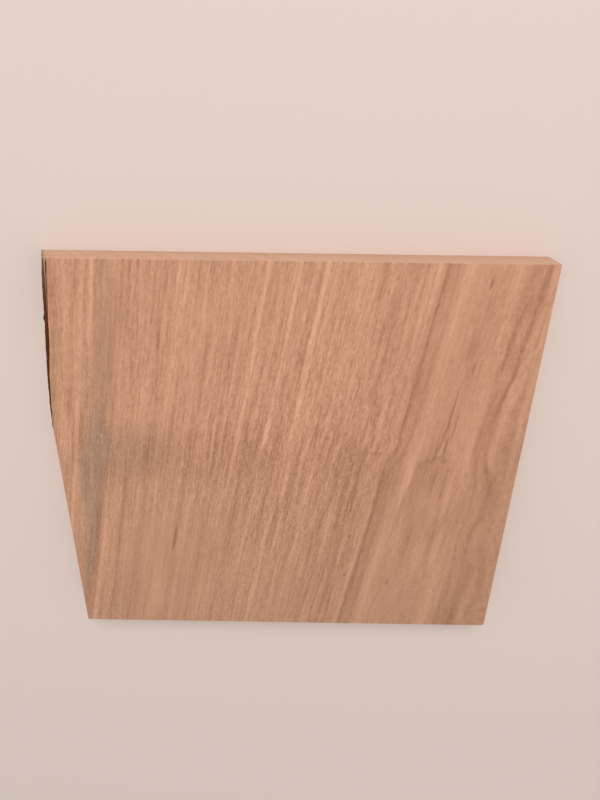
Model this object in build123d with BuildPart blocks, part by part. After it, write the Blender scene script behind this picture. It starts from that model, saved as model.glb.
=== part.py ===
from build123d import *
from math import hypot, sqrt
import os

# Offcut of planed hardwood board, lying on its underside with the planed face up.
# X runs across the grain, Y along the grain and Z up through the thickness.
# The origin is in the middle of the underside's outline. All sizes are in millimetres.

# The board, as planed and sawn
board_width = 300.0
board_length = 274.0
board_thickness = 20.0

# The board is a little out of square: its far end stands this much to the right of its near end
out_of_square = 3.0

# Every sawn arris is eased with a few strokes of abrasive paper
arris = 0.5

# Natural edge at the far left corner, where the board ran out to the surface of the log
wane_width = 14.0      # wood missing from the planed face at the far end
wane_length = 108.0    # how far along the left edge wood is missing from the planed face
wane_bow = 0.6         # how far the natural line dips from a straight one, at its middle
wane_flare = 10.0      # how much further out the log's surface lies at the underside
log_radius = 260.0     # round of the log's surface, seen on the sawn end

# The waste outside the log's surface is cut away with this much to spare all round
cut_clearance = 10.0

# Sections of the waste, as shares of the natural edge's length measured from the far end.
# The first and the last lie clear of the wood, so that the cut runs right through it.
wane_sections = [-0.1, 0.5, 1.15]

half_length = board_length / 2
near_left_x = -(board_width + out_of_square) / 2


def saw_line_x(y):
    """Where the left saw cut runs, at a place y along the board."""
    return near_left_x + out_of_square * (y + half_length) / board_length


def wood_missing(share):
    """Wood missing from the planed face, at a share of the natural edge's length."""
    return wane_width * (1 - share) - 4 * wane_bow * share * (1 - share)


# The heart of the log, seen from the natural line on the planed face. The log's surface
# passes through that line and through a line on the underside that is further out.
slant = hypot(wane_flare, board_thickness)
heart_distance = sqrt(log_radius**2 - (slant / 2) ** 2)
heart_x = -wane_flare / 2 + heart_distance * board_thickness / slant
heart_z = -board_thickness / 2 - heart_distance * wane_flare / slant

# The strip of waste, from beyond the saw cut to inside the log
waste_left = -(wane_width + wane_flare + 2 * cut_clearance)
waste_right = wane_flare + cut_clearance
waste_bottom = -(board_thickness + cut_clearance)

with BuildPart() as board:
    # Blank: a slightly leaning rectangle of planed board
    with BuildSketch(Plane.XY):
        with BuildLine():
            Polyline(
                (near_left_x, -half_length),
                (near_left_x + board_width, -half_length),
                (near_left_x + board_width + out_of_square, half_length),
                (near_left_x + out_of_square, half_length),
                close=True,
            )
        make_face()
    extrude(amount=board_thickness)
    chamfer(board.edges(), length=arris)

    # Natural edge: the log's round surface bounds the waste, and drifts out along the grain
    for share in wane_sections:
        y = half_length - share * wane_length
        natural_line = (saw_line_x(y) + wood_missing(share), y, board_thickness)
        with BuildSketch(Plane(origin=natural_line, x_dir=(1, 0, 0), z_dir=(0, -1, 0))):
            with Locations((waste_left, waste_bottom)):
                Rectangle(
                    waste_right - waste_left,
                    cut_clearance - waste_bottom,
                    align=(Align.MIN, Align.MIN),
                )
            with Locations((heart_x, heart_z)):
                Circle(log_radius, mode=Mode.SUBTRACT)
    loft(mode=Mode.SUBTRACT)

board.part.label = "board"

os.makedirs("parts", exist_ok=True)
export_step(board.part, "parts/board.step")
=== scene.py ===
import bpy
from math import hypot, pi, radians
from mathutils import Matrix, Vector, noise


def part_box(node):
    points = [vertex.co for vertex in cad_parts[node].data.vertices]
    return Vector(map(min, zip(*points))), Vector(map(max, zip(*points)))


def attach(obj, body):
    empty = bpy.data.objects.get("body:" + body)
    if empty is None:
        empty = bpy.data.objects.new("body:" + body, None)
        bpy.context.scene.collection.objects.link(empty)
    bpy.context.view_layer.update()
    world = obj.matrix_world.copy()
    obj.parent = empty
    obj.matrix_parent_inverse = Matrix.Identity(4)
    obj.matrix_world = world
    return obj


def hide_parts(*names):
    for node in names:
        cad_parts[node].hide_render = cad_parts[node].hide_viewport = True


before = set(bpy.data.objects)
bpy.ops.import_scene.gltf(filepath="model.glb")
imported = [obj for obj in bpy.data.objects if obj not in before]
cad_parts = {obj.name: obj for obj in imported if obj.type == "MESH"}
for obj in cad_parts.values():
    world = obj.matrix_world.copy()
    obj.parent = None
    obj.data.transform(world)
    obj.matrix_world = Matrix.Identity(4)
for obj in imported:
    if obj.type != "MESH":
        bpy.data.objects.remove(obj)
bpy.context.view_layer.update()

# The board lies on its underside with the planed face up. X runs across the grain,
# Y along the grain and Z up. Lengths are in metres unless a name ends in _mm or a comment says mm.
mm = 0.001
low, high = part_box("board")
board_length = high.y - low.y
board_thickness = high.z - low.z
far_end = high.y
face = high.z
out_of_square = 3 * mm        # the far end stands this much to the right
board_width = high.x - low.x - out_of_square
arris = 0.5 * mm              # sawn edges eased with abrasive paper

# Natural edge at the far left corner
natural_width = 14 * mm       # wood missing from the planed face at the far end
natural_length = 108 * mm     # how far along the left edge wood is missing
natural_bow = 0.42 * mm       # how far the natural line bulges out from a straight one
natural_flare = 10 * mm       # how much further out the log lies at the underside

# The log's heart, worked out from the arch in the figure of the planed face
heart_depth_mm = 131


def hex_colour(text):
    """An sRGB colour such as "d9a789" as linear red, green, blue and alpha."""
    levels = [int(text[i:i + 2], 16) / 255 for i in (0, 2, 4)]
    return [v / 12.92 if v <= 0.04045 else ((v + 0.055) / 1.055) ** 2.4 for v in levels] + [1]


# Shapes

def select_only(piece):
    bpy.ops.object.select_all(action="DESELECT")
    piece.select_set(True)
    bpy.context.view_layer.objects.active = piece


def apply_modifier(piece, kind, **settings):
    """Adds a modifier to a piece and applies it."""
    select_only(piece)
    modifier = piece.modifiers.new(kind.lower(), kind)
    for name, value in settings.items():
        setattr(modifier, name, value)
    bpy.ops.object.modifier_apply(modifier=modifier.name)


def saw_line_x(y):
    """Where the left saw cut runs, at a place y along the board."""
    return low.x + out_of_square * (y - low.y) / board_length


def sawn_block(name):
    """The block that the saw and the planer leave, before the natural edge is taken from it."""
    bpy.ops.object.select_all(action="DESELECT")
    bpy.ops.mesh.primitive_cube_add(
        size=1,
        location=(low.x + board_width / 2, (low.y + high.y) / 2, (low.z + high.z) / 2),
        scale=(board_width, board_length, board_thickness),
    )
    block = bpy.context.object
    block.name = name
    bpy.ops.object.transform_apply(location=True, rotation=True, scale=True)
    bpy.ops.object.mode_set(mode="EDIT")
    bpy.ops.mesh.select_all(action="DESELECT")
    bpy.ops.object.mode_set(mode="OBJECT")
    for vertex in block.data.vertices:
        vertex.select = vertex.co.y > 0
    bpy.ops.object.mode_set(mode="EDIT")
    bpy.ops.transform.translate(value=(out_of_square, 0, 0))
    bpy.ops.object.mode_set(mode="OBJECT")
    return block


# The natural edge as a plane: from its line on the planed face, down and out to the underside
natural_far = Vector((saw_line_x(far_end) + natural_width, far_end, face))
run_out_y = far_end - natural_length
natural_near = Vector((saw_line_x(run_out_y), run_out_y, face))
natural_below = natural_far - Vector((natural_flare, 0, board_thickness))
along_log = (natural_near - natural_far).normalized()
outward = (natural_below - natural_far).cross(along_log).normalized()
down_slope = along_log.cross(outward)


def log_shape(s, t):
    """How far the log's own surface stands off that plane, in mm, s mm along it and t mm down.
    Here and below, a noise's divisors are the length and height of its bumps in mm."""
    share = s / (natural_length / mm)
    bow = 4 * (natural_bow / mm) * share * (1 - share) if 0 < share < 1 else 0
    swell = 0.55 * noise.noise(Vector((s / 26 + 0.6, t / 14, 1.8)))
    ripple = 0.12 * noise.noise(Vector((s / 5, t / 2.5, 8)))
    return bow + swell + ripple


def bast_share(s, t):
    """Where the bark still has its pale inner layer: 1 near the far end, 0 past a ragged end."""
    ends_at, raggedness, fade = 20, 2, 5
    ragged = noise.fractal(Vector((s / 5, t / 4, 12)), 1, 2, 3)
    return min(1, max(0, (ends_at - s + raggedness * ragged) / fade))


def bark_shape(s, t):
    """How thick the bark is there, in mm: long plates with cracks between them, where the cracks'
    noise is near zero. It is thickest at the far end of the planed face."""
    plates = noise.fractal(Vector((s / 20 + 9, t / 3.2, 1.8)), 1, 2, 4)
    cracks = abs(noise.noise(Vector((s / 20 + 0.3 * plates, t / 2.4, 2))))
    crumbs = noise.noise(Vector((s / 1.6, t / 1.0, 7)))
    usual, thinnest, crack_depth, crack_width, thins_by = 1.02, 0.15, 0.6, 0.12, 0.005
    whole = usual + 0.4 * plates + 0.12 * crumbs
    whole = whole - crack_depth * max(0, 1 - cracks / crack_width) - thins_by * s
    extra_at_top, down_to = 0.5, 12
    thick_top = extra_at_top * bast_share(s, t) * max(0, 1 - max(0, t) / down_to)
    return max(thinnest, whole + thick_top)


def flake_lift(s, t):
    """How far a loose flake low on the bark stands out past the saw cut, in mm."""
    along, down, half_length, half_height, lift = 42, 18, 3, 4, 0.9
    return lift * max(0, 1 - hypot((s - along) / half_length, (t - down) / half_height))


def log_sheet(name):
    """The log's surface under the bark, as an open sheet that runs past the board all round."""
    spare, cell = 10 * mm, 0.4 * mm
    length = natural_length + 4 * spare
    height = hypot(natural_flare, board_thickness) + 2 * spare
    middle = natural_far + along_log * (length / 2 - spare) + down_slope * (height / 2 - spare)
    turn = Matrix((down_slope, along_log, outward)).transposed()
    bpy.ops.object.select_all(action="DESELECT")
    bpy.ops.mesh.primitive_grid_add(
        x_subdivisions=round(height / cell),
        y_subdivisions=round(length / cell),
        size=1,
        location=middle,
        rotation=turn.to_euler(),
    )
    sheet = bpy.context.object
    sheet.name = name
    sheet.scale = (height, length, 1)
    bpy.ops.object.transform_apply(location=True, rotation=True, scale=True)
    for vertex in sheet.data.vertices:
        s, t = log_place(vertex.co)
        vertex.co += outward * log_shape(s, t) * mm
    return sheet


def log_place(point):
    """A point's place on the natural edge, in mm along it and mm down its slope."""
    offset = (point - natural_far) / mm
    return offset.dot(along_log), offset.dot(down_slope)


def combine(piece, cutter, operation):
    """Cuts a piece with another, which is used up."""
    apply_modifier(piece, "BOOLEAN", operation=operation, object=cutter, solver="EXACT")
    bpy.data.objects.remove(cutter)


def make_board():
    """The board: a sawn block with eased arrises, and the waste outside the log cut away."""
    board = sawn_block("hardwood_board")
    bpy.ops.object.mode_set(mode="EDIT")
    bpy.ops.mesh.select_all(action="SELECT")
    bpy.ops.mesh.bevel(offset=arris, segments=2, profile=0.5)
    bpy.ops.object.mode_set(mode="OBJECT")
    waste = log_sheet("waste")
    past_the_board = 30 * mm
    apply_modifier(waste, "SOLIDIFY", thickness=past_the_board, offset=1)
    combine(board, waste, "DIFFERENCE")
    return board


def make_bark():
    """The bark left on the natural edge, sawn off flush with the board's faces."""
    bark = log_sheet("bark_crust")
    # A thin crust at first, of which the outer side then moves out by the bark's thickness
    first_mm = 0.1
    apply_modifier(bark, "SOLIDIFY", thickness=first_mm * mm, offset=1)
    for vertex in bark.data.vertices:
        s, t = log_place(vertex.co)
        height = (vertex.co - natural_far).dot(outward) / mm
        if height > log_shape(s, t) + first_mm / 2:
            vertex.co += outward * bark_shape(s, t) * mm
    combine(bark, sawn_block("saw_cuts"), "INTERSECT")
    above_wood = bark.data.attributes.new("above_wood", "FLOAT", "POINT")
    thickness = bark.data.attributes.new("bark_thickness", "FLOAT", "POINT")
    bast = bark.data.attributes.new("bast", "FLOAT", "POINT")
    for vertex in bark.data.vertices:
        s, t = log_place(vertex.co)
        height = (vertex.co - natural_far).dot(outward) / mm
        above_wood.data[vertex.index].value = height - log_shape(s, t)
        thickness.data[vertex.index].value = bark_shape(s, t)
        bast.data[vertex.index].value = bast_share(s, t)
        vertex.co.x -= flake_lift(s, t) * mm * min(1, above_wood.data[vertex.index].value)
    return bark


def finish_piece(piece):
    """Clean normals, and smooth shading where the surface is rounded."""
    select_only(piece)
    bpy.ops.object.mode_set(mode="EDIT")
    bpy.ops.mesh.select_all(action="SELECT")
    bpy.ops.mesh.normals_make_consistent(inside=False)
    bpy.ops.object.mode_set(mode="OBJECT")
    bpy.ops.object.shade_smooth_by_angle(angle=radians(35))


# Materials

def add(tree, kind, inputs=(), **settings):
    """Adds one node with its settings, and sets or links its inputs."""
    node = tree.nodes.new("ShaderNode" + kind)
    for name, value in settings.items():
        setattr(node, name, value)
    pairs = inputs.items() if isinstance(inputs, dict) else enumerate(inputs)
    for key, value in pairs:
        if isinstance(value, bpy.types.Node):
            value = value.outputs[0]
        if isinstance(value, bpy.types.NodeSocket):
            tree.links.new(value, node.inputs[key])
        else:
            node.inputs[key].default_value = value
    return node


def polynomial(tree, across, along, terms):
    """The sum of amount times across^i times along^j, for each (amount, i, j)."""
    total = 0.0
    for amount, i, j in terms:
        term = amount
        for factor in [across] * i + [along] * j:
            term = add(tree, "Math", [factor, term], operation="MULTIPLY")
        total = add(tree, "Math", [term, total], operation="ADD")
    return total


# How the grain sweeps to the side, in mm, as powers of the place across and along the board,
# which both run from -1 to 1
grain_sweep = [(7.9, 1, 1), (-4.1, 1, 2), (-14.5, 2, 0), (14.5, 2, 1), (-16.5, 3, 0), (2.7, 3, 1)]
# The heart's place across the board, in mm, along the board
heart_place = [(85.2, 0, 0), (26.7, 0, 1)]
# Towards the far end the heart sinks by a slanting step, between these places along the board in
# mm, so the innermost layers close there in an arch
heart_sinks_by = 0.52
heart_sinks_from, heart_sinks_to = -8, 22
heart_step_slant = 0.2

# Growth layers, each by where it meets the planed face, in mm from the line over the heart:
# its place, its half width, and how pale it is at the far end and at the near end.
# 1 is as pale as the palest wood and -1 as dark as the darkest.
growth_layers = [
    # Pale wood outside the arch
    (15, 4, 0.12, 0.40),
    (17.3, 2.5, 0.26, 0.08),
    # The dark band each side of it, darkest at its outer line
    (20.9, 2.6, -0.40, -0.44),
    (24.2, 2.6, -0.28, -0.50),
    (25.9, 1.7, -0.62, -0.66),
    # Pale and dark lines in turn, out to the log's surface
    (28.3, 1.4, 0.0, 0.35),
    (29.6, 1.8, 0.30, 0.0),
    (32.5, 2, 0.28, -0.08),
    (35.6, 1.8, -0.22, -0.28),
    (37.6, 1.4, 0.0, 0.12),
    (40, 2, -0.10, -0.40),
    (45.4, 1.8, -0.20, -0.20),
    (47.7, 1.5, 0.20, 0.0),
    (50, 2, -0.22, 0.35),
    (52.2, 1.4, 0.05, -0.20),
    (56.5, 2, -0.12, -0.12),
    (60.8, 2, 0.10, 0.28),
    (64.8, 1.3, 0.25, -0.05),
    (68.5, 2.4, 0.45, 0.20),
    (73.0, 3, 0.20, -0.12),
    (83.9, 2.8, 0.38, 0.15),
    (89.5, 2.6, 0.85, 0.35),
    (95.9, 4, 0.00, -0.22),
    (104.9, 2, 0.72, 0.08),
    (116.8, 4, -0.02, -0.22),
    (123.1, 2, 0.75, 0.10),
    (129.3, 2, -0.08, 0.20),
    (135.8, 2, -0.04, -0.25),
    (139.8, 1.8, 0.08, 0.28),
    (147.7, 2.6, 0.18, 0.22),
    (153.2, 2, -0.08, -0.25),
    (156.7, 1.6, 0.38, 0.00),
    (162.7, 5, 0.05, 0.25),
    (171.7, 4, 0.36, 0.20),
    (179.7, 3, -0.12, -0.15),
    (186.2, 3, 0.15, 0.22),
    (192.2, 2, 0.08, -0.20),
    (197.2, 2, 0.08, 0.25),
    (203.2, 2.2, -0.20, 0.70),
    (207, 3, -0.15, -0.30),
    (211, 4, -0.12, -0.15),
    (215, 3, -0.12, -0.10),
    (224.2, 2.2, 0.45, 0.40),
    (232.4, 2, 0.35, 0.0),
    (238.2, 3, -0.20, -0.50),
]

# Marks on the planed face and in the wood under it: each one's place from the line over the heart
# and along the board, its half width and half length, all in mm, and its tone
marks = [
    # Dark streaks in the left half, the first with a pale one beside it
    (-154, -58, 1.6, 15, -1.0),
    (-150.9, -60, 1.4, 20, 0.35),
    (-180.8, 90, 1.3, 17, -0.6),
    # Small dark flecks
    (-30.9, -89, 0.9, 2.4, -1.2),
    (-35, -54, 0.8, 2.4, -1.0),
    (-48.7, -65, 0.8, 2.0, -0.8),
    (-118.3, -85, 0.8, 2.0, -0.7),
    (0.6, 126, 1.1, 5, -0.85),
    # A pale fleck in the grey wedge, and where a pale streak widens
    (-209.7, 24, 1.0, 1.2, 1.4),
    (-104.5, 28, 2.6, 15, 0.9),
    # A dark mark across the grain, where it steps aside
    (-36, 13, 12, 2.2, -0.35),
    # Two fine dark lines that rise from the arch, with pale wood between them
    (0.3, 42, 0.8, 24, -0.75),
    (-0.5, 24, 0.8, 12, -0.65),
    (-1.8, 15.5, 0.8, 8, -0.65),
    (3.5, 34, 0.8, 17, -0.8),
    (2.1, 19, 0.8, 11, -0.75),
    (0.4, 17, 0.9, 9, 0.5),
    # The arch's dark cap and its shoulders, with pale wood over the left one
    (-0.2, 10.8, 4.2, 2.3, -0.5),
    (-3.4, 8.4, 4.2, 2.4, -0.35),
    (-6.8, 4.2, 2.8, 5.5, -0.3),
    (3.4, 8.0, 2.6, 2.8, -0.4),
    (-8.2, 17, 4.5, 14, 0.22),
    # Shade under the cap, and dark and pale streaks inside the arch
    (-1.5, -3, 8.5, 16, -0.22),
    (1.2, -8, 1.4, 17, -0.4),
    (-2.8, -62, 2.4, 28, -0.3),
    (-6, -95, 1.2, 4, -0.5),
    (-2.3, -56, 1.2, 7, -0.25),
    (4.6, -68, 4, 30, 0.25),
    (5, -32, 3.5, 20, 0.25),
    (9.0, -66, 1.5, 25, -0.25),
    # The arch's right flank, a fine line with pale wood outside it
    (6.6, -12, 0.9, 24, -0.5),
    (9.8, -22, 2.2, 30, 0.4),
    (11.4, -62, 2.4, 28, 0.5),
    # The arch's left flank, pale with a darker streak each side
    (-12.3, -4, 2.8, 30, 0.5),
    (-11.0, -3, 1.5, 14, 0.45),
    (-13.0, -24, 1.3, 16, 0.25),
    (-7, -14, 3.2, 18, -0.2),
    (-17.5, -12, 2.0, 26, -0.35),
    (-8.5, -60, 4, 40, 0.2),
    # A small pale arch near the far end, with dark wood under it
    (-3, 96, 1.6, 7, 0.3),
    (11.4, 97, 1.8, 10, 0.3),
    (0.5, 87, 6, 11, -0.2),
    (4.2, 74, 0.9, 6, -0.7),
    # Right of the arch, where the dark band is broader and fainter
    (17.5, -35, 4.5, 75, -0.2),
    (22.5, -65, 4, 100, 0.2),
    (19.3, -70, 1.7, 85, 0.3),
    (25.5, -60, 1.8, 110, 0.2),
    (23.0, 20, 2.4, 35, 0.25),
    (28.6, 15, 2.4, 90, -0.3),
    (29.2, -95, 2.6, 75, -0.35),
    (31, -50, 6, 120, -0.2),
    (24.9, 68, 1.2, 28, 0.3),
    # The pale line outside the left dark band, paler at the far end, and a pale streak beyond it
    (-27.4, 122, 1.6, 45, 0.3),
    (-28.5, 0, 2.4, 42, -0.2),
    (-48.5, 122, 3, 28, 0.25),
    # The grey wedge and the wood each side of it
    (-219, 118, 2.0, 50, 0.6),
    (-221.5, 32, 2.2, 24, -0.4),
    (-209, 128, 9, 38, 0.22),
    (-212.5, -15, 4, 42, 0.35),
    (-207.6, -40, 2.2, 30, -0.4),
    (-201, -50, 3.0, 42, 0.32),
    (-203, 45, 2.0, 42, -0.25),
    (-192.5, -50, 2.6, 62, -0.25),
    (-208, 14, 6, 18, 0.3),
    (-229, 20, 4, 25, 0.4),
    (-223.5, -12, 3.5, 21, 0.4),
    (-218, -39, 3, 21, 0.35),
    (-223.8, 125, 1.8, 60, 0.1),
    (-208.5, 86, 14, 95, -0.12),
    # Broad changes of shade, with a darker band across the grain near the middle
    (4.5, 90, 15, 55, -0.25),
    (-26.5, 15, 50, 100, -0.18),
    (-56.5, -40, 30, 65, -0.18),
    (12.5, -30, 9, 45, -0.25),
    (-158.5, -108, 13, 32, 0.25),
    (-191.5, 8, 34, 32, -0.25),
    (-131.5, 10, 70, 30, -0.25),
    (-61.5, 12, 40, 26, -0.2),
    (-88, -36, 14, 42, -0.25),
    (-42, -85, 14, 42, -0.2),
    (-10, -82, 10, 32, -0.15),
    (29, -8, 7, 45, -0.2),
]
# How far below the planed face a mark reaches
mark_half_depth_mm = 5
# Where the wood is greyer, in the same terms
greyer_places = [
    (-213.8, -3, 11.5, 62, 0.95),
    (-211, 75, 9, 85, 0.35),
    (-210.7, -68, 6, 55, 0.95),
    (-207.5, 14, 7, 20, 0.5),
    # Greyer over part of the darker band across the grain near the middle
    (-191.5, 10, 34, 30, 0.35),
]
# Where the fine texture is bolder or fainter, in the same terms
texture_strengths = [
    (-84, 8, 88, 130, 0.42),
    (20, 90, 18, 60, 0.3),
    (-157, -90, 52, 85, -0.5),
    (-209, 92, 12, 80, -0.35),
]
# Where the grain steps aside, in the same terms, by an amount in mm
kinks = [
    (23, 125, 10, 35, -1.8),
    (22, 30, 9, 50, 2.6),
    (24, -59, 8, 26, 2.0),
    (25, -127, 8, 30, 1.6),
    (-28.5, 21, 12, 10, -1.1),
    (-28.5, 5, 12, 10, 1.1),
]

# The wood's colours at the darkest and the palest tone, and what they are multiplied by
# where the greying is full
wood_dark = "a37154"
wood_pale = "dea886"
full_grey_tint = "e1ecf4"


def growth_layer_group():
    """Adds one growth layer's tone to the tone so far."""
    tree = bpy.data.node_groups.new("growth_layer", "ShaderNodeTree")
    names = ("Ring", "Near share", "Radius", "Thickness", "Far tone", "Near tone", "Tone so far")
    for name in names:
        tree.interface.new_socket(name, in_out="INPUT", socket_type="NodeSocketFloat")
    tree.interface.new_socket("Tone", in_out="OUTPUT", socket_type="NodeSocketFloat")
    ring, near_share, radius, thickness, far_tone, near_tone, so_far = (
        tree.nodes.new("NodeGroupInput").outputs[:7]
    )
    away = add(tree, "Math", [ring, radius], operation="SUBTRACT")
    away = add(tree, "Math", [away], operation="ABSOLUTE")
    presence = add(tree, "MapRange", [away, thickness, 0.0, 0.0, 1.0],
                   interpolation_type="SMOOTHSTEP")
    tone = add(tree, "Mix", {0: near_share, 2: far_tone, 3: near_tone})
    total = add(tree, "Math", [presence, tone, so_far], operation="MULTIPLY_ADD")
    tree.links.new(total.outputs[0], tree.nodes.new("NodeGroupOutput").inputs[0])
    return tree


def mark_group():
    """Adds one long oval mark, fading at its rim, to the amount so far."""
    tree = bpy.data.node_groups.new("mark", "ShaderNodeTree")
    for name, kind in (("Place", "Vector"), ("Centre", "Vector"), ("Half size", "Vector"),
                       ("Tone", "Float"), ("So far", "Float")):
        tree.interface.new_socket(name, in_out="INPUT", socket_type="NodeSocket" + kind)
    tree.interface.new_socket("Total", in_out="OUTPUT", socket_type="NodeSocketFloat")
    place, centre, half_size, tone, so_far = tree.nodes.new("NodeGroupInput").outputs[:5]
    offset = add(tree, "VectorMath", [place, centre], operation="SUBTRACT")
    offset = add(tree, "VectorMath", [offset, half_size], operation="DIVIDE")
    away = add(tree, "VectorMath", [offset], operation="LENGTH").outputs["Value"]
    rim, full_within = 1.0, 0.3
    presence = add(tree, "MapRange", [away, rim, full_within, 0.0, 1.0],
                   interpolation_type="SMOOTHSTEP")
    total = add(tree, "Math", [presence, tone, so_far], operation="MULTIPLY_ADD")
    tree.links.new(total.outputs[0], tree.nodes.new("NodeGroupOutput").inputs[0])
    return tree


def put_marks(tree, group, place, listed, total):
    """Adds each listed mark to the total. A mark lies at the planed face and fades below it."""
    for side, along, half_width, half_length, tone in listed:
        centre = (side, along, face / mm)
        half_size = (half_width, half_length, mark_half_depth_mm)
        total = add(tree, "Group", [place, centre, half_size, tone, total], node_tree=group)
    return total


def streaks(tree, coordinates, size, detail, share, total, seed=0.0):
    """Adds a noise to the total. size is its size in mm in each of the three coordinates, the
    second of which runs along the grain."""
    x, y, z = coordinates
    scaled = add(tree, "CombineXYZ", [
        add(tree, "Math", [x, 1 / size[0], seed], operation="MULTIPLY_ADD"),
        add(tree, "Math", [y, 1 / size[1]], operation="MULTIPLY"),
        add(tree, "Math", [z, 1 / size[2]], operation="MULTIPLY"),
    ])
    pattern = add(tree, "TexNoise", {
        "Vector": scaled,
        "Scale": 1.0,
        "Detail": detail,
        "Roughness": 0.55,
    })
    centred = add(tree, "Math", [pattern, 0.5], operation="SUBTRACT")
    return add(tree, "Math", [centred, share, total], operation="MULTIPLY_ADD")


def wood_figure():
    """The wood itself, right through the board: growth layers round the log's heart, fibres and
    stains. Gives its colour, and the height of its fibres for a fine relief."""
    tree = bpy.data.node_groups.new("wood_figure", "ShaderNodeTree")
    tree.interface.new_socket("Colour", in_out="OUTPUT", socket_type="NodeSocketColor")
    tree.interface.new_socket("Fibre", in_out="OUTPUT", socket_type="NodeSocketFloat")
    place = add(tree, "TexCoord").outputs["Object"]
    place_mm = add(tree, "VectorMath", [place, (1 / mm,) * 3], operation="MULTIPLY")
    x, y, z = add(tree, "SeparateXYZ", [place_mm]).outputs
    across = add(tree, "Math", [x, board_width / 2 / mm], operation="DIVIDE")
    along = add(tree, "Math", [y, board_length / 2 / mm], operation="DIVIDE")

    # Straightened out, the log's heart is at 0 and every fibre runs straight along it
    sweep = polynomial(tree, across, along, grain_sweep)
    heart = polynomial(tree, across, along, heart_place)
    side = add(tree, "Math", [x, sweep], operation="ADD")
    side = add(tree, "Math", [side, heart], operation="SUBTRACT")
    mark = mark_group()
    side = put_marks(tree, mark, add(tree, "CombineXYZ", [side, y, z]), kinks, side)
    # The fibres wander from side to side over these widths in mm
    broad_wander, small_wander = 0.8, 0.3
    side = streaks(tree, (side, y, z), (14, 50, 14), 1, broad_wander, side)
    side = streaks(tree, (side, y, z), (3, 24, 3), 1, small_wander, side, seed=9)
    depth = add(tree, "Math", [z, heart_depth_mm - board_thickness / mm], operation="ADD")
    slanted_y = add(tree, "Math", [side, heart_step_slant, y], operation="MULTIPLY_ADD")
    sunk = add(tree, "MapRange", [slanted_y, heart_sinks_from, heart_sinks_to, 0.0, heart_sinks_by],
               interpolation_type="SMOOTHSTEP")
    depth = add(tree, "Math", [depth, sunk], operation="ADD")
    spoke = add(tree, "CombineXYZ", [side, depth])
    ring = add(tree, "VectorMath", [spoke], operation="LENGTH").outputs["Value"]
    near_share = add(tree, "MapRange", [y, far_end / mm, low.y / mm, 0.0, 1.0])

    tone = 0.0
    layer_group = growth_layer_group()
    for meets_face, half_width, far_tone, near_tone in growth_layers:
        radius = hypot(meets_face, heart_depth_mm)
        thickness = half_width * meets_face / radius
        tone = add(tree, "Group", [ring, near_share, radius, thickness, far_tone, near_tone, tone],
                   node_tree=layer_group)

    place_on_face = add(tree, "CombineXYZ", [side, y, z])
    tone = put_marks(tree, mark, place_on_face, marks, tone)
    grey = put_marks(tree, mark, place_on_face, greyer_places, 0.0)

    # Finer growth layers, long fibres, short fibres and pores. Real fibres and pores are a tenth
    # of a millimetre wide or less: these are drawn about ten times as coarse, or none would show.
    fine = streaks(tree, (ring, y, side), (1.8, 70, 60), 1, 1.0, 0.0)
    fine = streaks(tree, (side, y, depth), (1.5, 30, 1.5), 1, 1.15, fine, seed=3)
    fine = streaks(tree, (side, y, depth), (1.0, 7, 1.0), 1, 1.3, fine, seed=5)
    fine = streaks(tree, (side, y, depth), (1.1, 2.2, 1.1), 0, 0.7, fine, seed=8)
    # They are fainter in the flat-sawn wood round the arch and right of it
    bold_up_to, faint_from, bold, faint = -31.0, -23.0, 1.0, 0.6
    strength = add(tree, "MapRange", [side, bold_up_to, faint_from, bold, faint])
    strength = put_marks(tree, mark, place_on_face, texture_strengths, strength)
    tone = add(tree, "Math", [fine, strength, tone], operation="MULTIPLY_ADD")
    # Broad unevenness
    tone = streaks(tree, (side, y, depth), (60, 90, 40), 1, 0.4, tone, seed=7)

    colour = add(tree, "ValToRGB", [add(tree, "MapRange", [tone, -1.0, 1.0, 0.0, 1.0])])
    ramp = colour.color_ramp
    ramp.elements[0].color = hex_colour(wood_dark)
    ramp.elements[1].color = hex_colour(wood_pale)
    grey = add(tree, "Clamp", [grey])
    colour = add(tree, "Mix", {0: grey, 6: colour, 7: hex_colour(full_grey_tint)},
                 data_type="RGBA", blend_type="MULTIPLY").outputs[2]
    # The fibres' relief
    fibre = streaks(tree, (side, y, depth), (0.35, 6, 0.35), 2, 1.0, 0.5)
    ends = tree.nodes.new("NodeGroupOutput")
    tree.links.new(colour, ends.inputs["Colour"])
    tree.links.new(fibre.outputs[0], ends.inputs["Fibre"])
    return tree


def new_material(name):
    material = bpy.data.materials.new(name)
    material.use_nodes = True
    tree = material.node_tree
    shader = tree.nodes["Principled BSDF"]
    shader.inputs["IOR"].default_value = 1.5
    shader.inputs["Specular IOR Level"].default_value = 0.3
    return material, tree, shader


def planed_hardwood(figure):
    """Bare planed hardwood: a matt face with a faint silk along the fibres."""
    material, tree, shader = new_material("planed_hardwood")
    wood = add(tree, "Group", node_tree=figure)
    tree.links.new(wood.outputs["Colour"], shader.inputs["Base Color"])
    shader.inputs["Roughness"].default_value = 0.6
    bump = add(tree, "Bump", {
        "Height": wood.outputs["Fibre"],
        "Strength": 0.4,
        "Distance": 0.05 * mm,
    })
    tree.links.new(bump.outputs[0], shader.inputs["Normal"])
    return material


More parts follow.
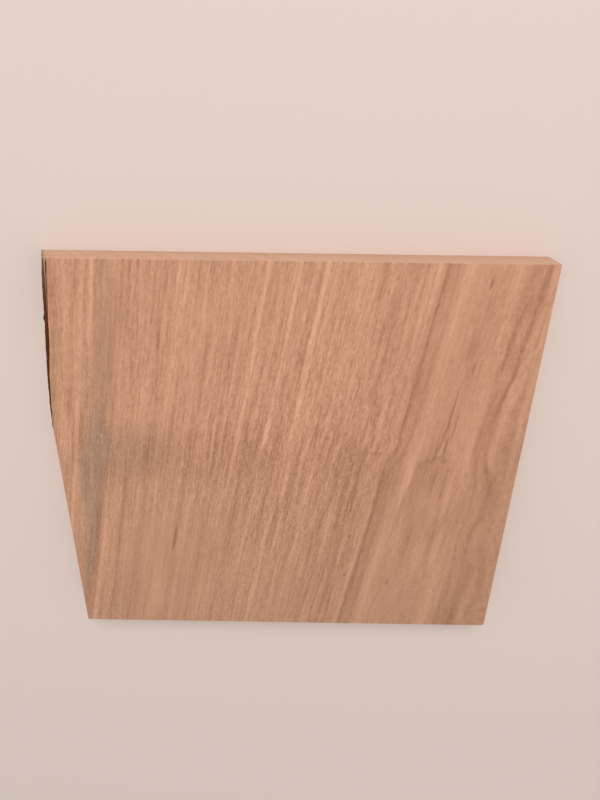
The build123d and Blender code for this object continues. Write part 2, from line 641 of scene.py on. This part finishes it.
def saw_marks(tree, run, blade_centre_z, spacing, depth):
    """The marks that a circular saw's teeth leave, one arc after another along the cut: a normal
    for the shader, and how far up or down the surface goes there. run is the axis that the cut
    follows. blade_centre_z, spacing and depth are in mm."""
    blade_radius = 125
    feed_shift, feed_scale = 6.0, 0.03
    least_pressure, pressure_scale = 0.15, 0.07
    fibre_height, fibre_scale = 2.0, 2.5
    place = add(tree, "TexCoord").outputs["Object"]
    place_mm = add(tree, "VectorMath", [place, (1 / mm,) * 3], operation="MULTIPLY")
    parts = add(tree, "SeparateXYZ", [place_mm]).outputs
    up = add(tree, "Math", [parts["Z"], blade_centre_z], operation="SUBTRACT")
    squared = add(tree, "Math", [up, up], operation="MULTIPLY")
    arc = add(tree, "Math", [blade_radius ** 2, squared], operation="SUBTRACT")
    arc = add(tree, "Math", [arc, 0.5], operation="POWER")
    along = add(tree, "Math", [parts[run], arc], operation="SUBTRACT")
    uneven_feed = add(tree, "TexNoise", {"Vector": place_mm, "Scale": feed_scale, "Detail": 1})
    along = add(tree, "Math", [uneven_feed, feed_shift, along], operation="MULTIPLY_ADD")
    wave = add(tree, "Math", [along, 2 * pi / spacing], operation="MULTIPLY")
    wave = add(tree, "Math", [wave], operation="SINE")
    pressure = add(tree, "TexNoise", {"Vector": place_mm, "Scale": pressure_scale, "Detail": 1})
    pressure = add(tree, "MapRange", [pressure, 0.35, 0.65, least_pressure, 1.0])
    wave = add(tree, "Math", [wave, pressure], operation="MULTIPLY")
    torn_fibres = add(tree, "TexNoise", {"Vector": place_mm, "Scale": fibre_scale, "Detail": 3})
    height = add(tree, "Math", [torn_fibres, fibre_height, wave], operation="MULTIPLY_ADD")
    bump = add(tree, "Bump", {"Height": height, "Strength": 0.6, "Distance": depth * mm})
    return bump, wave


def sawn_end(figure):
    """End grain off a crosscut saw: the growth layers show as faint arcs with open pores between
    them, paler and duller than the face, under shallow arcs from the blade. The pores are drawn
    about five times as coarse as real ones, or none would show."""
    blade_centre_z, spacing, depth = 90, 1.4, 0.06
    dulled, sawdust = 0.6, "c8a48c"
    pores_per_mm, pore_edge, pore_rim, pore_shade = 1.6, 0.12, 0.3, 0.86
    mark_shade = 0.015
    material, tree, shader = new_material("sawn_end")
    wood = add(tree, "Group", node_tree=figure)
    colour = add(tree, "Mix", {0: dulled, 6: wood.outputs["Colour"], 7: hex_colour(sawdust)},
                 data_type="RGBA").outputs[2]
    place = add(tree, "TexCoord").outputs["Object"]
    place_mm = add(tree, "VectorMath", [place, (1 / mm,) * 3], operation="MULTIPLY")
    pores = add(tree, "TexVoronoi", {"Vector": place_mm, "Scale": pores_per_mm}).outputs["Distance"]
    open_pore = add(tree, "MapRange", [pores, pore_edge, pore_rim, pore_shade, 1.0])
    bump, wave = saw_marks(tree, "X", blade_centre_z, spacing, depth)
    shade = add(tree, "Math", [wave, mark_shade, open_pore], operation="MULTIPLY_ADD")
    colour = add(tree, "HueSaturation", {"Value": shade, "Color": colour})
    tree.links.new(colour.outputs[0], shader.inputs["Base Color"])
    shader.inputs["Roughness"].default_value = 0.8
    tree.links.new(bump.outputs[0], shader.inputs["Normal"])
    return material


def sawn_edge(figure):
    """Edge off a rip saw: long grain, dulled by steep curved marks from the blade's teeth."""
    blade_centre_z, spacing, depth = -60, 2.2, 0.10
    mark_shade, darker = 0.03, 0.97
    material, tree, shader = new_material("sawn_edge")
    wood = add(tree, "Group", node_tree=figure)
    bump, wave = saw_marks(tree, "Y", blade_centre_z, spacing, depth)
    shade = add(tree, "Math", [wave, mark_shade, darker], operation="MULTIPLY_ADD")
    colour = add(tree, "HueSaturation", {
        "Saturation": 0.92,
        "Value": shade,
        "Color": wood.outputs["Colour"],
    })
    tree.links.new(colour.outputs[0], shader.inputs["Base Color"])
    shader.inputs["Roughness"].default_value = 0.75
    tree.links.new(bump.outputs[0], shader.inputs["Normal"])
    return material


def weathered_bark():
    """Thin dry bark: grey-brown on its ridges and dark in its cracks, their own dark colour
    deepened by painted shade. Where it is thick, the planer has laid open a pale layer of bast
    under the dark skin, and the saw has chipped the end down to it."""
    # The crack colour is the cracks' own dark brown, deepened by painted shade
    crack_colour_and_shade, skin_brown, ridge, bast_pale = "3d1c09", "573018", "7c563c", "b98e70"
    crack_height, ridge_height = 0.2, 1.7
    bast_middle, bast_half, bast_full_half = 0.74, 0.28, 0.18
    chip_starts, chip_full, chip_unevenness = 2.5, 0.3, 3.0
    material, tree, shader = new_material("weathered_bark")
    above_wood = add(tree, "Attribute", attribute_name="above_wood").outputs["Fac"]
    thickness = add(tree, "Attribute", attribute_name="bark_thickness").outputs["Fac"]
    place = add(tree, "TexCoord").outputs["Object"]
    place_mm = add(tree, "VectorMath", [place, (1 / mm,) * 3], operation="MULTIPLY")
    crumbs = add(tree, "TexNoise", {
        "Vector": place_mm,
        "Scale": 0.9,
        "Detail": 4,
        "Roughness": 0.65,
    })
    centred = add(tree, "Math", [crumbs, 0.5], operation="SUBTRACT")
    uneven = add(tree, "Math", [centred, 0.5, above_wood], operation="MULTIPLY_ADD")

    # The skin by its height above the wood, in mm. Low in the cracks it is dark, their own colour
    # deepened by painted shade
    skin_share = add(tree, "MapRange", [uneven, crack_height, ridge_height, 0.0, 1.0])
    skin = add(tree, "ValToRGB", [skin_share])
    ramp = skin.color_ramp
    ramp.elements[0].color = hex_colour(crack_colour_and_shade)
    ramp.elements[1].color = hex_colour(ridge)
    ramp.elements.new(0.5).color = hex_colour(skin_brown)

    # The bast by its share of the bark's thickness, where there is any left
    share = add(tree, "Math", [uneven, thickness], operation="DIVIDE")
    from_middle = add(tree, "Math", [share, bast_middle], operation="SUBTRACT")
    from_middle = add(tree, "Math", [from_middle], operation="ABSOLUTE")
    bast = add(tree, "MapRange", [from_middle, bast_half, bast_full_half, 0.0, 1.0])
    left = add(tree, "Attribute", attribute_name="bast").outputs["Fac"]
    bast = add(tree, "Math", [bast, left], operation="MULTIPLY")

    # The chipped end, by its distance from the far end in mm
    y = add(tree, "SeparateXYZ", [place_mm]).outputs["Y"]
    chipped = add(tree, "Math", [centred, chip_unevenness, y], operation="MULTIPLY_ADD")
    chipped = add(tree, "MapRange", [
        chipped, far_end / mm - chip_starts, far_end / mm - chip_full, 0.0, 1.0,
    ])
    bast = add(tree, "Math", [bast, chipped], operation="MAXIMUM")

    colour = add(tree, "Mix", {0: bast, 6: skin, 7: hex_colour(bast_pale)}, data_type="RGBA")
    tree.links.new(colour.outputs[2], shader.inputs["Base Color"])
    shader.inputs["Roughness"].default_value = 0.9
    shader.inputs["Specular IOR Level"].default_value = 0.15
    bump = add(tree, "Bump", {"Height": crumbs, "Strength": 0.6, "Distance": 0.25 * mm})
    tree.links.new(bump.outputs[0], shader.inputs["Normal"])
    return material


def pale_floor():
    """Plain matt floor."""
    material, tree, shader = new_material("pale_floor")
    shader.inputs["Base Color"].default_value = hex_colour("e2d0c6")
    shader.inputs["Roughness"].default_value = 0.9
    return material


# Stage

def set_camera():
    """The photograph's view: from beyond the far end, steeply down, with the far end at the top."""
    position = Vector((8.5, 212.1, 347.2)) * mm
    target = Vector((7.2, 51.2, 20.0)) * mm
    roll = radians(-0.74)
    focal_length_pixels, long_side_pixels, sensor = 590, 800, 36
    ahead = (target - position).normalized()
    right = ahead.cross(Vector((0, 1, 0))).normalized()
    right.rotate(Matrix.Rotation(roll, 3, ahead))
    up = right.cross(ahead)
    bpy.ops.object.camera_add(location=position)
    camera = bpy.context.object
    camera.rotation_euler = Matrix((right, up, -ahead)).transposed().to_euler()
    camera.data.sensor_width = sensor
    camera.data.lens = sensor * focal_length_pixels / long_side_pixels
    camera.data.clip_start = 0.01
    bpy.context.scene.camera = camera


def set_lights():
    """A broad soft lamp beyond and over the far end, and soft light from all round. What the
    camera, glossy rays and transmission rays see past the floor is a pale backdrop instead."""
    position, target = Vector((0.1, 2.0, 1.9)), Vector((0, 0, 0))
    bpy.ops.object.light_add(type="AREA", location=position)
    lamp = bpy.context.object
    lamp.rotation_euler = (target - position).to_track_quat("-Z", "Y").to_euler()
    lamp.data.size = 1.2
    lamp.data.energy = 47.5
    world = bpy.data.worlds.new("soft_light")
    world.use_nodes = True
    tree = world.node_tree
    light = tree.nodes["Background"]
    light.inputs["Color"].default_value = (1, 1, 1, 1)
    light.inputs["Strength"].default_value = 0.54
    backdrop = add(tree, "Background", [hex_colour("e6dbd4"), 1.0])
    rays = add(tree, "LightPath").outputs
    seen = add(tree, "Math", [rays["Is Camera Ray"], rays["Is Glossy Ray"]], operation="MAXIMUM")
    seen = add(tree, "Math", [seen, rays["Is Transmission Ray"]], operation="MAXIMUM")
    mixed = add(tree, "MixShader", [seen, light, backdrop])
    tree.links.new(mixed.outputs[0], tree.nodes["World Output"].inputs["Surface"])
    bpy.context.scene.world = world
    bpy.context.scene.view_settings.view_transform = "Standard"


def make_floor():
    bpy.ops.object.select_all(action="DESELECT")
    bpy.ops.mesh.primitive_plane_add(size=6, location=(0, 0, 0))
    floor = bpy.context.object
    floor.name = "floor"
    floor.data.materials.append(pale_floor())


set_camera()
set_lights()
make_floor()

figure = wood_figure()
board = make_board()
finish_piece(board)
planed, ends, edges = range(3)
for material in (planed_hardwood(figure), sawn_end(figure), sawn_edge(figure)):
    board.data.materials.append(material)
squarely = 0.9
for polygon in board.data.polygons:
    if abs(polygon.normal.y) > squarely:
        polygon.material_index = ends
    elif abs(polygon.normal.x) > squarely:
        polygon.material_index = edges
    else:
        polygon.material_index = planed
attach(board, "root")
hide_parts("board")

bark = make_bark()
finish_piece(bark)
bark.data.materials.append(weathered_bark())
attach(bark, "root")
